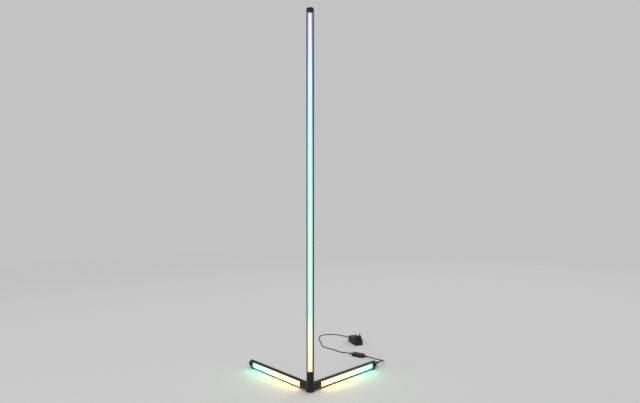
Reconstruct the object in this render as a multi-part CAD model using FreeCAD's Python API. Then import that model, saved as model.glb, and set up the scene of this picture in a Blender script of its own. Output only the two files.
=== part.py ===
"""Corner floor lamp: a lit post on a V of two lit floor bars, with its low-voltage supply.

Millimetres, +Z up. The origin is on the floor, under the post's axis. The open side of
the V faces +Y, towards the corner of the room, and the light faces outwards from it.
Every piece of a tube is drawn in the tube's own frame: local X runs across the tube,
local Y points the way that its light faces, and local Z runs along it.
"""

import FreeCAD, Part
import math
import os

V = FreeCAD.Vector

# ---- driving dimensions -------------------------------------------------------------

TOTAL_HEIGHT = 1500.0
BAR_ANGLE = 45.0             # each floor bar's angle to the Y axis

# extruded tube
TUBE_RADIUS = 15.0
TUBE_WALL = 1.5
LIGHT_HALF_ANGLE = 44.0      # half of the arc that the diffuser fills
SHELF_LEVEL = -1.0           # face that the LED strip is stuck to, from the tube's axis
SHELF_THICKNESS = 1.6
RIB_DEPTH = 1.6              # rib inside the wall that the diffuser's flange snaps behind
RIB_ARC = 5.0                # degrees
RIB_GAP_ARC = 1.0            # degrees between a flange's end and its rib

# diffuser
DIFFUSER_WALL = 1.6
FLANGE_WALL = 1.2
FLANGE_ARC = 9.0             # degrees that a flange reaches under the tube's wall
FLANGE_ROOT_ARC = 6.0        # degrees that a flange's root runs on under the diffuser
DIFFUSER_EDGE_GAP = 0.12
DIFFUSER_END_GAP = 0.2

# LED strip
STRIP_WIDTH = 10.0
STRIP_THICKNESS = 0.6
LED_SIDE = 5.0
LED_HEIGHT = 1.6
LED_PITCH = 33.3
STRIP_END_GAP = 2.0

# lengths along the tubes
BAR_LIT_START = 48.0         # from the post's axis
BAR_LIT_LENGTH = 314.0
BAR_CAP_LENGTH = 28.0
POST_LIT_START = 81.0        # above the floor
POST_SECTIONS = 3
TOP_CAP_LENGTH = 20.0

# inner couplers, spigots and their screws
SLIP = 0.2                   # a keyed piece inside the tube's rear chamber
SPIGOT_LENGTH = 28.0
STUB_LENGTH = 12.0           # the shorter key on an end cap
COUPLER_LENGTH = 90.0
SCREW_RADIUS = 1.45
SCREW_HEAD_RADIUS = 2.7
SCREW_HEAD_DEPTH = 1.3
SCREW_LENGTH = 4.0
SCREW_SLOT_WIDTH = 0.7
SCREW_SLOT_DEPTH = 0.6
SCREW_HOLE_GAP = 0.05
SCREW_SUNK = 0.25            # head's face below the tube's surface
SCREW_TIP_GAP = 0.3
HUB_SCREW_REACH = 12.0       # from an arm's end face to its screw
COUPLER_SCREW_REACH = 25.0   # from a section joint to each of its screws

# corner hub
FOOT_HEIGHT = 3.0
DRUM_PROUD = 2.0             # the drum's wall stands this far outside the tubes
DRUM_WALL = 2.5
SHOULDER_DROP = 3.0          # the drum starts to narrow this far below the bars' tops
SHOULDER_HEIGHT = 8.0
SHOULDER_BULGE = 0.15        # how far its curve stands out, as a share of its step
NECK_WALL = 3.0
ARM_END_WALL = 3.0
HUB_EDGE_ROUND = 0.8
COVER_THICKNESS = 2.0
COVER_LEDGE = 1.1
COVER_GAP = 0.1
COVER_SCREW_ANGLES = (-90.0, -18.0, -162.0)
COVER_POST_INSET = 2.2       # a screw's axis, from the drum's inner wall
COVER_POST_RADIUS = 2.4
COVER_SCREW_LENGTH = 12.0
FOOT_EDGE_INSET = 0.8        # the rubber disc stops this far inside the drum
FOOT_CHAMFER = 0.6

# junction board in the hub
BOARD_THICKNESS = 1.6
BOARD_GAP = 1.0              # to the drum's inner wall
BOARD_BOSS_HEIGHT = 4.0
BOARD_BOSS_RADIUS = 1.8
BOARD_BOSS_CIRCLE = 8.0      # radius
BOARD_BOSS_ANGLES = (30.0, 150.0, -60.0)
SOCKET_NEAR = 6.0            # each bar's wire socket, from the post's axis
SOCKET_FAR = 10.5
SOCKET_WIDTH = 4.0
SOCKET_RISE = 1.0            # socket's sides, beyond a ribbon's edges
POST_SOCKET_HEIGHT = 4.4

# inner wiring
RIBBON_WIDTH = 5.0
RIBBON_THICKNESS = 1.0
WIRE_WAY_GAP = 0.4           # around a ribbon where it passes a wall
FEED_OFFSET = -7.5           # feed cable's axis, from the tube's axis
FEED_RADIUS = 1.6
FEED_HOLE_RADIUS = 2.3

# end caps and feet
CAP_ROUND = 2.2
JOINT_EDGE = 0.4             # bevel that shows where a cap or the hub meets a tube
BAR_FOOT_LENGTH = 26.0
BAR_FOOT_WIDTH = 13.0
BAR_FOOT_RISE = 2.4          # how far the pad's sides reach up around the tube
BAR_FOOT_INSET = 8.0         # from the bar's end
FOOT_GLUE = 0.05

# low-voltage inlet and plug
JACK_RADIUS = 4.0
JACK_LENGTH = 14.0
JACK_FLOOR = 3.5
JACK_BORE_RADIUS = 2.8
JACK_RECESS = 0.3
JACK_GAP = 0.05
JACK_PIN_RADIUS = 1.0
JACK_PIN_RECESS = 1.0        # pin's tip below the inlet's face
JACK_TAIL = 1.5
JACK_TAIL_WIDTH = 2.8
JACK_TAIL_GAP = 0.6
PLUG_GAP = 0.05
PLUG_PIN_GAP = 0.25
PLUG_TIP_GAP = 1.0
PLUG_FLOOR = 0.8             # closed end of the metal sleeve
PLUG_GRIP_RADIUS = 4.8
PLUG_GRIP_LENGTH = 22.0
PLUG_WAIST = 0.5             # how far the grip is drawn in at its middle
PLUG_FRONT_EDGE = 0.6
PLUG_TAIL_EDGE = (0.8, 3.0)  # radius and length of the taper into the strain relief
PLUG_FACE_GAP = 0.4

# joint line of the two housings
PARTING_DEPTH = 0.35
PARTING_WIDTH = 0.5

# cords
CORD_RADIUS = 2.0
ARC_SHARE = 0.45             # of a run's length, taken by the arc at each of its ends
RELIEF_LENGTH = 20.0
RELIEF_ROOT_RADIUS = 3.8
RELIEF_TIP_RADIUS = 2.7
RELIEF_GROOVES = 4
RELIEF_GROOVE_WIDTH = 1.2
RELIEF_GROOVE_DEPTH = 0.7

# inline controller
CONTROLLER_CENTRE = (213.0, 432.0)
CONTROLLER_HEADING = -30.7   # degrees from +X, towards the lamp's inlet
CONTROLLER_LENGTH = 62.0
CONTROLLER_WIDTH = 30.0
CONTROLLER_HEIGHT = 14.0
CONTROLLER_CORNER = 7.0
CONTROLLER_EDGE = 2.0
CONTROLLER_WALL = 1.8
CONTROLLER_EXIT = 7.0        # height of the cords, and of the joint between the two shells
BUTTON_RADIUS = 4.5
BUTTON_PITCH = 14.0
BUTTON_OFFSET = -4.0         # middle button, from the controller's centre
BUTTON_PROUD = 1.3
BUTTON_CROWN = 0.5
BUTTON_EDGE = 0.6
BUTTON_GAP = 0.2
BUTTON_WELL = 0.6            # bevel around each button's hole
BUTTON_TRAVEL = 0.5
BUTTON_FLANGE = 0.9
BUTTON_FLANGE_THICKNESS = 0.8
BUTTON_STEM_RADIUS = 1.6
BUTTON_STEM_LENGTH = 2.5
BUTTON_CEILING_GAP = 0.15
BUTTON_SWITCH_GAP = 0.2      # left when the button is fully down
LENS_RADIUS = 2.2
LENS_OFFSET = 21.0
LENS_THICKNESS = 3.0
LENS_PROUD = 0.2
LENS_GAP = 0.05
RECEIVER_SIDE = 4.0
RECEIVER_GAP = 0.3           # under the lens
CONTROLLER_BOARD_LEVEL = 3.4
CONTROLLER_BOARD_MARGIN = 3.0
SWITCH_SIDE = 6.0
CHIP_SIDE = 4.0
CHIP_HEIGHT = 1.2
CHIP_INSET = 2.0             # from the board's edges
BOARD_POST_RADIUS = 1.6
BOARD_POST_INSET = (4.0, 3.0)

# wall adapter, laid on its front with the pins up
ADAPTER_CABLE_END = (190.0, 688.0)
ADAPTER_HEADING = -66.0      # degrees from +X, from its cable end to its far end
ADAPTER_LENGTH = 92.0
ADAPTER_WIDTH = 44.0
ADAPTER_DEPTH = 30.0
ADAPTER_CORNER = 9.0
ADAPTER_EDGE = 3.0
ADAPTER_WALL = 2.2
ADAPTER_SPLIT = 17.0
NOSE_LENGTH = 36.0
NOSE_WIDTH = 15.0
NOSE_HEIGHT = 16.0
NOSE_FLAT = 0.1              # flat left between the two rounds of each end
NOSE_EDGE = 0.8
NOSE_FROM_END = 16.0         # centre of the nose, from the adapter's far end
PIN_RADIUS = 2.0
PIN_LENGTH = 19.0
PIN_SPACING = 18.6
PIN_ROOT_LENGTH = 6.0        # the stretch that is moulded into the nose
PIN_ROOT_RADIUS = 1.6
ADAPTER_BOARD_LEVEL = 6.0
ADAPTER_BOARD_MARGIN = 3.5
ADAPTER_POST_RADIUS = 2.2
ADAPTER_POST_INSET = 5.0
TRANSFORMER_SIDE = 19.0
TRANSFORMER_ROOM = 4.0       # to the case's inner wall
CAPACITOR_RADIUS = 4.8
CAPACITOR_OFFSET = (26.0, 6.0)
CAPACITOR_ROOM = 4.5
HEAT_PLATE_WIDTH = 16.0
HEAT_PLATE_THICKNESS = 1.5
HEAT_PLATE_OFFSET = -18.0
HEAT_PLATE_ROOM = 7.0
ADAPTER_CABLE_DROP = 2.0     # the cable leaves this far below the joint of the two shells

# modelling
BITE = 0.5                   # how far a joined form reaches into its neighbour
PAST = 1.0                   # how far a cut runs past the face that it opens

# ---- places that follow from them ---------------------------------------------------

BAR_HEIGHT = FOOT_HEIGHT + TUBE_RADIUS
TUBE_BORE = TUBE_RADIUS - TUBE_WALL
BAR_LIT_END = BAR_LIT_START + BAR_LIT_LENGTH
BAR_END = BAR_LIT_END + BAR_CAP_LENGTH
POST_LIT_END = TOTAL_HEIGHT - TOP_CAP_LENGTH
SECTION_LENGTH = (POST_LIT_END - POST_LIT_START) / POST_SECTIONS
SHELF_BACK = SHELF_LEVEL - SHELF_THICKNESS
DRUM_RADIUS = TUBE_RADIUS + DRUM_PROUD
SHOULDER_START = BAR_HEIGHT + TUBE_RADIUS - SHOULDER_DROP
SHOULDER_END = SHOULDER_START + SHOULDER_HEIGHT
COVER_TOP = FOOT_HEIGHT + COVER_THICKNESS
BOARD_LEVEL = COVER_TOP + BOARD_BOSS_HEIGHT
BOARD_TOP = BOARD_LEVEL + BOARD_THICKNESS
DRUM_BORE = DRUM_RADIUS - DRUM_WALL
COVER_SCREW_CIRCLE = DRUM_BORE - COVER_POST_INSET
NECK_BORE = TUBE_RADIUS - NECK_WALL
STRIP_TOP = SHELF_LEVEL + STRIP_THICKNESS
JACK_FACE = BAR_END - JACK_RECESS
JACK_REAR = BAR_END - JACK_LENGTH
JACK_BOTTOM = JACK_REAR + JACK_FLOOR
BUTTON_CEILING = CONTROLLER_HEIGHT - CONTROLLER_WALL - BUTTON_CEILING_GAP
BUTTON_FLANGE_LOW = BUTTON_CEILING - BUTTON_FLANGE_THICKNESS
BUTTON_STEM_LOW = BUTTON_FLANGE_LOW - BUTTON_STEM_LENGTH
SWITCH_TOP = BUTTON_STEM_LOW - BUTTON_TRAVEL - BUTTON_SWITCH_GAP
LENS_LOW = CONTROLLER_HEIGHT + LENS_PROUD - LENS_THICKNESS
ADAPTER_EXIT = ADAPTER_SPLIT - ADAPTER_CABLE_DROP


def heading(degrees):
    """Unit vector on the floor, at an angle from +X."""
    return V(math.cos(math.radians(degrees)), math.sin(math.radians(degrees)), 0)


def tube_frame(origin, facing, along):
    """Placement whose local Y is the way the light faces and local Z runs along the tube."""
    across = facing.cross(along)
    return FreeCAD.Placement(FreeCAD.Matrix(
        across.x, facing.x, along.x, origin.x,
        across.y, facing.y, along.y, origin.y,
        across.z, facing.z, along.z, origin.z,
        0, 0, 0, 1))


POST = tube_frame(V(0, 0, 0), V(0, -1, 0), V(0, 0, 1))
RIGHT = tube_frame(V(0, 0, BAR_HEIGHT), heading(-BAR_ANGLE), heading(90 - BAR_ANGLE))
LEFT = tube_frame(V(0, 0, BAR_HEIGHT), heading(180 + BAR_ANGLE), heading(90 + BAR_ANGLE))


def put(shape, placement):
    """A copy of a shape, moved from its local frame to where it belongs."""
    placed = shape.copy()
    placed.Placement = placement.multiply(placed.Placement)
    return placed


def export(name, shape):
    """Write one sub-part's STEP file."""
    if not shape.isValid():
        raise ValueError(name + " is not a valid solid")
    shape.exportStep("parts/" + name + ".step")


def export_group(name, solids):
    """Write like solids, such as a set of screws, as one sub-part."""
    export(name, Part.makeCompound(solids))


# ---- basic forms --------------------------------------------------------------------

def cylinder(radius, start, end, x=0.0, y=0.0):
    """Cylinder along local Z, from one level to another."""
    return Part.makeCylinder(radius, end - start, V(x, y, start))


def block(x_from, x_to, y_from, y_to, z_from, z_to):
    """Box between two corners."""
    return Part.makeBox(x_to - x_from, y_to - y_from, z_to - z_from, V(x_from, y_from, z_from))


def sector(inner, outer, start_deg, end_deg):
    """Face between two arcs about the local Z axis."""
    def at(radius, degrees):
        return V(radius * math.cos(math.radians(degrees)),
                 radius * math.sin(math.radians(degrees)), 0)
    middle = (start_deg + end_deg) / 2
    edges = [
        Part.Arc(at(outer, start_deg), at(outer, middle), at(outer, end_deg)).toShape(),
        Part.LineSegment(at(outer, end_deg), at(inner, end_deg)).toShape(),
        Part.Arc(at(inner, end_deg), at(inner, middle), at(inner, start_deg)).toShape(),
        Part.LineSegment(at(inner, start_deg), at(outer, start_deg)).toShape(),
    ]
    return Part.Face(Part.Wire(edges))


def prism(face, start, end):
    """A face drawn on the local XY plane, run from one level to another."""
    solid = face.extrude(V(0, 0, end - start))
    solid.translate(V(0, 0, start))
    return solid


def turned(outline):
    """Solid of revolution about local Z, from (radius, level) points and arc mid-points.

    A point is (r, z). Three values (r, z, "arc") mark the middle of an arc.
    """
    points = [(V(p[0], 0, p[1]), len(p) == 3) for p in outline]
    edges = []
    i = 0
    count = len(points)
    while i < count:
        here = points[i][0]
        after, is_arc = points[(i + 1) % count]
        if is_arc:
            edges.append(Part.Arc(here, after, points[(i + 2) % count][0]).toShape())
            i += 2
        else:
            edges.append(Part.LineSegment(here, after).toShape())
            i += 1
    return Part.Face(Part.Wire(edges)).revolve(V(0, 0, 0), V(0, 0, 1), 360)


def dome(radius, rise, top):
    """End of a turned outline: a crown that is part of a sphere, up to the axis."""
    ball = (radius ** 2 + rise ** 2) / (2 * rise)
    middle = radius / 2
    return [(middle, top - ball + math.sqrt(ball ** 2 - middle ** 2), "arc"), (0, top)]


def rounded_slab(length, width, low, high, corner):
    """Slab with rounded plan corners, centred on the local origin, long side along X."""
    half_l, half_w = length / 2, width / 2
    inner_l, inner_w = half_l - corner, half_w - corner
    k = corner * math.sqrt(0.5)
    edges = []
    for sx, sy in ((1, 1), (-1, 1), (-1, -1), (1, -1)):
        across = V(sx * half_l, sy * inner_w, low)
        along = V(sx * inner_l, sy * half_w, low)
        middle = V(sx * (inner_l + k), sy * (inner_w + k), low)
        start, end = (across, along) if sx * sy > 0 else (along, across)
        if edges:
            edges.append(Part.LineSegment(edges[-1].valueAt(edges[-1].LastParameter), start).toShape())
        edges.append(Part.Arc(start, middle, end).toShape())
    last = edges[-1].valueAt(edges[-1].LastParameter)
    edges.append(Part.LineSegment(last, edges[0].valueAt(edges[0].FirstParameter)).toShape())
    return Part.Face(Part.Wire(edges)).extrude(V(0, 0, high - low))


def edges_at(shape, level):
    """The edges that lie flat at one level."""
    return [e for e in shape.Edges
            if abs(e.BoundBox.ZMin - level) < 1e-4 and abs(e.BoundBox.ZMax - level) < 1e-4]


# ---- the extruded tube and what slides into it --------------------------------------

def tube_section():
    """Faces of the tube's cross-section: its wall and its two ribs."""
    opening = 90 - LIGHT_HALF_ANGLE
    wall = sector(TUBE_BORE, TUBE_RADIUS, 180 - opening, 360 + opening)
    rib_end = opening - FLANGE_ARC - RIB_GAP_ARC
    inner, outer = TUBE_BORE - RIB_DEPTH, TUBE_BORE + TUBE_WALL / 3
    ribs = [sector(inner, outer, rib_end - RIB_ARC, rib_end),
            sector(inner, outer, 180 - rib_end, 180 - rib_end + RIB_ARC)]
    return wall, ribs


def countersunk(at, gap, length):
    """Screw form pointing in from the back of the tube, widened by a gap on its radius."""
    face = V(0, -TUBE_RADIUS + SCREW_SUNK, at)
    inwards = V(0, 1, 0)
    head = Part.makeCone(SCREW_HEAD_RADIUS + gap, SCREW_RADIUS + gap, SCREW_HEAD_DEPTH,
                         face, inwards)
    return head.fuse(Part.makeCylinder(SCREW_RADIUS + gap, length, face, inwards))


def screw_recess(at):
    """Space for one screw, open to the outside of the tube."""
    mouth = Part.makeCylinder(SCREW_HEAD_RADIUS + SCREW_HOLE_GAP, SCREW_SUNK + PAST,
                              V(0, -TUBE_RADIUS - PAST, at), V(0, 1, 0))
    return countersunk(at, SCREW_HOLE_GAP, SCREW_LENGTH + SCREW_TIP_GAP).fuse(mouth)


def screw(at):
    """Countersunk slotted screw, its head just under the tube's surface."""
    face = -TUBE_RADIUS + SCREW_SUNK
    slot = block(-SCREW_HEAD_RADIUS, SCREW_HEAD_RADIUS, face - PAST, face + SCREW_SLOT_DEPTH,
                 at - SCREW_SLOT_WIDTH / 2, at + SCREW_SLOT_WIDTH / 2)
    return countersunk(at, 0, SCREW_LENGTH).cut(slot).removeSplitter()


def tube(start, end, screws_at):
    """One length of the extruded tube, with the holes for its screws."""
    wall, ribs = tube_section()
    solid = prism(wall, start, end)
    reach = TUBE_BORE + TUBE_WALL / 3
    shelf = block(-reach, reach, SHELF_BACK, SHELF_LEVEL, start, end).common(
        cylinder(reach, start, end))
    solid = solid.fuse([shelf] + [prism(rib, start, end) for rib in ribs]).removeSplitter()
    for at in screws_at:
        solid = solid.cut(screw_recess(at))
    return solid


def diffuser(start, end):
    """Bowed opal cover whose two flanges snap in under the tube's wall."""
    opening = 90 - LIGHT_HALF_ANGLE
    edge = math.degrees(DIFFUSER_EDGE_GAP / TUBE_RADIUS)
    low, high = start + DIFFUSER_END_GAP, end - DIFFUSER_END_GAP
    inner = TUBE_RADIUS - DIFFUSER_WALL
    flange_top = TUBE_BORE - DIFFUSER_EDGE_GAP
    flange_low = flange_top - FLANGE_WALL
    root = opening + FLANGE_ROOT_ARC
    pieces = []
    for first, last in ((opening - FLANGE_ARC, root), (180 - root, 180 - opening + FLANGE_ARC)):
        pieces.append(prism(sector(flange_low, flange_top, first, last), low, high))
    for first, last in ((opening + edge, root), (180 - root, 180 - opening - edge)):
        pieces.append(prism(sector(flange_low, inner + DIFFUSER_WALL / 2, first, last), low, high))
    shell = prism(sector(inner, TUBE_RADIUS, opening + edge, 180 - opening - edge), low, high)
    return shell.fuse(pieces).removeSplitter()


def led_strip(start, end):
    """Flexible board on the tube's shelf, with its row of LED packages."""
    low, high = start + STRIP_END_GAP, end - STRIP_END_GAP
    board = block(-STRIP_WIDTH / 2, STRIP_WIDTH / 2, SHELF_LEVEL, STRIP_TOP, low, high)
    count = int((high - low) / LED_PITCH)
    first = (low + high - (count - 1) * LED_PITCH) / 2
    half = LED_SIDE / 2
    packages = [block(-half, half, STRIP_TOP, STRIP_TOP + LED_HEIGHT,
                      first + i * LED_PITCH - half, first + i * LED_PITCH + half)
                for i in range(count)]
    return board.fuse(packages)


def key(start, end):
    """D-shaped bar that fills the tube's rear chamber, with room to slide."""
    radius = TUBE_BORE - SLIP
    below_shelf = block(-radius, radius, -radius, SHELF_BACK - SLIP, start, end)
    return cylinder(radius, start, end).common(below_shelf)


def end_cap(start, end):
    """Moulded cap, as wide as the tube, with a rounded rim and a keyed stub."""
    rim = end - CAP_ROUND
    k = CAP_ROUND * (1 - math.sqrt(0.5))
    body = turned([(0, start), (TUBE_RADIUS - JOINT_EDGE, start), (TUBE_RADIUS, start + JOINT_EDGE),
                   (TUBE_RADIUS, rim), (TUBE_RADIUS - k, end - k, "arc"),
                   (TUBE_RADIUS - CAP_ROUND, end), (0, end)])
    return body.fuse(key(start - STUB_LENGTH, start)).removeSplitter()


# ---- corner hub ---------------------------------------------------------------------

def arm_end(end):
    """What an arm's end wall gains and loses: the keyed spigot, and its wire ways."""
    spigot = key(end, end + SPIGOT_LENGTH)
    inside = end - ARM_END_WALL - PAST
    feed_way = cylinder(FEED_HOLE_RADIUS, inside, end + SPIGOT_LENGTH + PAST, 0, FEED_OFFSET)
    half = RIBBON_WIDTH / 2 + WIRE_WAY_GAP
    ribbon_way = block(-half, half, SHELF_LEVEL - WIRE_WAY_GAP,
                       SHELF_LEVEL + RIBBON_THICKNESS + WIRE_WAY_GAP, inside, end + PAST)
    return spigot, [feed_way, ribbon_way, screw_recess(end + HUB_SCREW_REACH)]


def on_circle(radius, degrees, z):
    """Point on a circle about the post's axis."""
    return heading(degrees) * radius + V(0, 0, z)


def arm_outline(end):
    """End of an arm as a turned outline, up to the axis."""
    return [(TUBE_RADIUS, end - JOINT_EDGE), (TUBE_RADIUS - JOINT_EDGE, end), (0, end)]


def drum_outline():
    """Outside of the drum, its shoulder and the neck, as a turned outline."""
    step = DRUM_RADIUS - TUBE_RADIUS
    bulge = (TUBE_RADIUS + step * (0.5 + SHOULDER_BULGE), (SHOULDER_START + SHOULDER_END) / 2, "arc")
    return [(0, FOOT_HEIGHT), (DRUM_RADIUS - HUB_EDGE_ROUND, FOOT_HEIGHT),
            (DRUM_RADIUS, FOOT_HEIGHT + HUB_EDGE_ROUND), (DRUM_RADIUS, SHOULDER_START),
            bulge, (TUBE_RADIUS, SHOULDER_END)] + arm_outline(POST_LIT_START)


def corner_hub():
    """Three-way moulding: a drum on the floor, two sleeves for the bars and a neck."""
    roof = SHOULDER_START + DRUM_WALL
    sleeve = turned([(0, 0), (TUBE_RADIUS, 0)] + arm_outline(BAR_LIT_START))
    sleeve_bore = cylinder(NECK_BORE, 0, BAR_LIT_START - ARM_END_WALL)
    body = turned(drum_outline()).fuse([put(sleeve, RIGHT), put(sleeve, LEFT)])
    for hollow in (cylinder(DRUM_BORE, FOOT_HEIGHT - PAST, roof),
                   cylinder(DRUM_BORE + COVER_LEDGE, FOOT_HEIGHT - PAST, COVER_TOP),
                   cylinder(NECK_BORE, roof - PAST, POST_LIT_START - ARM_END_WALL),
                   put(sleeve_bore, RIGHT), put(sleeve_bore, LEFT)):
        body = body.cut(hollow)
    additions = []
    ways = []
    for degrees in COVER_SCREW_ANGLES:
        additions.append(Part.makeCylinder(COVER_POST_RADIUS, roof - COVER_TOP,
                                           on_circle(COVER_SCREW_CIRCLE, degrees, COVER_TOP)))
        ways.append(Part.makeCylinder(SCREW_RADIUS + SCREW_HOLE_GAP, COVER_SCREW_LENGTH,
                                      on_circle(COVER_SCREW_CIRCLE, degrees, FOOT_HEIGHT)))
    for frame, end in ((POST, POST_LIT_START), (RIGHT, BAR_LIT_START), (LEFT, BAR_LIT_START)):
        spigot, cuts = arm_end(end)
        additions.append(put(spigot, frame))
        ways += [put(cut, frame) for cut in cuts]
    body = body.fuse(additions)
    for way in ways:
        body = body.cut(way)
    return body.removeSplitter()


def hub_cover():
    """Disc that closes the drum from below, with the bosses that carry the board."""
    disc = cylinder(DRUM_BORE + COVER_LEDGE - COVER_GAP, FOOT_HEIGHT, COVER_TOP)
    bosses = [Part.makeCylinder(BOARD_BOSS_RADIUS, BOARD_BOSS_HEIGHT,
                                on_circle(BOARD_BOSS_CIRCLE, degrees, COVER_TOP))
              for degrees in BOARD_BOSS_ANGLES]
    disc = disc.fuse(bosses)
    for degrees in COVER_SCREW_ANGLES:
        at = on_circle(COVER_SCREW_CIRCLE, degrees, FOOT_HEIGHT)
        disc = disc.cut(Part.makeCylinder(SCREW_RADIUS + SCREW_HOLE_GAP, COVER_THICKNESS, at))
        disc = disc.cut(Part.makeCone(SCREW_HEAD_RADIUS + SCREW_HOLE_GAP,
                                      SCREW_RADIUS + SCREW_HOLE_GAP, SCREW_HEAD_DEPTH, at))
    return disc.removeSplitter()


def cover_screws():
    """Countersunk screws from below, through the cover into the hub's posts."""
    screws = []
    for degrees in COVER_SCREW_ANGLES:
        at = on_circle(COVER_SCREW_CIRCLE, degrees, FOOT_HEIGHT)
        head = Part.makeCone(SCREW_HEAD_RADIUS, SCREW_RADIUS, SCREW_HEAD_DEPTH, at)
        shank = Part.makeCylinder(SCREW_RADIUS, COVER_SCREW_LENGTH - SCREW_TIP_GAP, at)
        slot = Part.makeBox(2 * SCREW_HEAD_RADIUS, SCREW_SLOT_WIDTH, SCREW_SLOT_DEPTH,
                            at - V(SCREW_HEAD_RADIUS, SCREW_SLOT_WIDTH / 2, 0))
        screws.append(head.fuse(shank).cut(slot).removeSplitter())
    return screws


def hub_foot():
    """Rubber disc glued under the drum, over the cover and its screws."""
    radius = DRUM_RADIUS - FOOT_EDGE_INSET
    return turned([(0, 0), (radius - FOOT_CHAMFER, 0), (radius, FOOT_CHAMFER),
                   (radius, FOOT_HEIGHT), (0, FOOT_HEIGHT)])


def junction_board():
    """Round board with one wire socket for each tube and one for the feed."""
    board = cylinder(DRUM_BORE - BOARD_GAP, BOARD_LEVEL, BOARD_TOP)
    for degrees in COVER_SCREW_ANGLES:
        board = board.cut(Part.makeCylinder(COVER_POST_RADIUS + BOARD_GAP / 2, BOARD_THICKNESS,
                                            on_circle(COVER_SCREW_CIRCLE, degrees, BOARD_LEVEL)))
    ribbon_middle = SHELF_LEVEL + RIBBON_THICKNESS / 2
    half = SOCKET_WIDTH / 2
    side = RIBBON_WIDTH / 2 + SOCKET_RISE
    on_board = BOARD_TOP - BAR_HEIGHT
    sockets = [put(block(on_board, side, middle - half, middle + half, SOCKET_NEAR, SOCKET_FAR),
                   RIGHT)
               for middle in (ribbon_middle, FEED_OFFSET)]
    sockets.append(put(block(-side, -on_board, ribbon_middle - half, ribbon_middle + half,
                             SOCKET_NEAR, SOCKET_FAR), LEFT))
    sockets.append(put(block(-side, side, ribbon_middle - half, ribbon_middle + half,
                             BOARD_TOP, BOARD_TOP + POST_SOCKET_HEIGHT), POST))
    return board.fuse(sockets).removeSplitter()


def ribbon(start, end):
    """Flat three-wire ribbon from the board to the end of an LED strip."""
    return block(-RIBBON_WIDTH / 2, RIBBON_WIDTH / 2, SHELF_LEVEL,
                 SHELF_LEVEL + RIBBON_THICKNESS, start, end)


# ---- inlet, plug, cords -------------------------------------------------------------

def inlet_pocket():
    """Space in the right end cap for the inlet, its tail and the feed cable."""
    half = JACK_TAIL_WIDTH / 2 + JACK_TAIL_GAP
    return [cylinder(JACK_RADIUS + JACK_GAP, JACK_REAR, BAR_END + PAST),
            block(-half, half, FEED_OFFSET - FEED_HOLE_RADIUS, JACK_RADIUS,
                  BAR_LIT_END - PAST, JACK_REAR),
            cylinder(FEED_HOLE_RADIUS, BAR_LIT_END - STUB_LENGTH - PAST, BAR_LIT_END,
                     0, FEED_OFFSET)]


def dc_jack():
    """Round inlet with a centre pin, and the tail that the feed cable is soldered to."""
    half = JACK_TAIL_WIDTH / 2
    body = cylinder(JACK_RADIUS, JACK_REAR, JACK_FACE)
    bore = cylinder(JACK_BORE_RADIUS, JACK_BOTTOM, JACK_FACE + PAST)
    pin = cylinder(JACK_PIN_RADIUS, JACK_BOTTOM - BITE, JACK_FACE - JACK_PIN_RECESS)
    tail = block(-half, half, FEED_OFFSET - FEED_RADIUS, half, JACK_REAR - JACK_TAIL, JACK_REAR)
    return body.cut(bore).fuse([pin, tail]).removeSplitter()


def plug_barrel():
    """Metal sleeve of the plug, inside the inlet."""
    end = BAR_END + PLUG_FACE_GAP
    low = JACK_BOTTOM + PLUG_TIP_GAP
    return cylinder(JACK_BORE_RADIUS - PLUG_GAP, low, end).cut(
        cylinder(JACK_PIN_RADIUS + PLUG_PIN_GAP, low - PAST, end - PLUG_FLOOR))


def relief_outline(start):
    """Tapered, grooved sleeve as (radius, level) points, from its root outwards."""
    points = []
    pitch = RELIEF_LENGTH / (RELIEF_GROOVES + 1)

    def radius(level):
        share = level / RELIEF_LENGTH
        return RELIEF_ROOT_RADIUS + (RELIEF_TIP_RADIUS - RELIEF_ROOT_RADIUS) * share
    for i in range(1, RELIEF_GROOVES + 1):
        low = i * pitch - RELIEF_GROOVE_WIDTH / 2
        high = low + RELIEF_GROOVE_WIDTH
        points += [(radius(low), start + low), (radius(low) - RELIEF_GROOVE_DEPTH, start + low),
                   (radius(high) - RELIEF_GROOVE_DEPTH, start + high),
                   (radius(high), start + high)]
    return [(RELIEF_ROOT_RADIUS, start)] + points + [(RELIEF_TIP_RADIUS, start + RELIEF_LENGTH)]


def strain_relief():
    """Strain relief along local Z, from its root at the origin."""
    return turned([(0, 0)] + relief_outline(0) + [(0, RELIEF_LENGTH)])


def plug_body():
    """Moulded grip of the plug, narrowing into its strain relief."""
    start = BAR_END + PLUG_FACE_GAP
    end = start + PLUG_GRIP_LENGTH
    step, taper = PLUG_TAIL_EDGE
    outline = [(0, start), (PLUG_GRIP_RADIUS - PLUG_FRONT_EDGE, start),
               (PLUG_GRIP_RADIUS, start + PLUG_FRONT_EDGE),
               (PLUG_GRIP_RADIUS - PLUG_WAIST, (start + end - taper) / 2, "arc"),
               (PLUG_GRIP_RADIUS, end - taper), (PLUG_GRIP_RADIUS - step, end)]
    return turned(outline + relief_outline(end) + [(0, end + RELIEF_LENGTH)])


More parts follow.
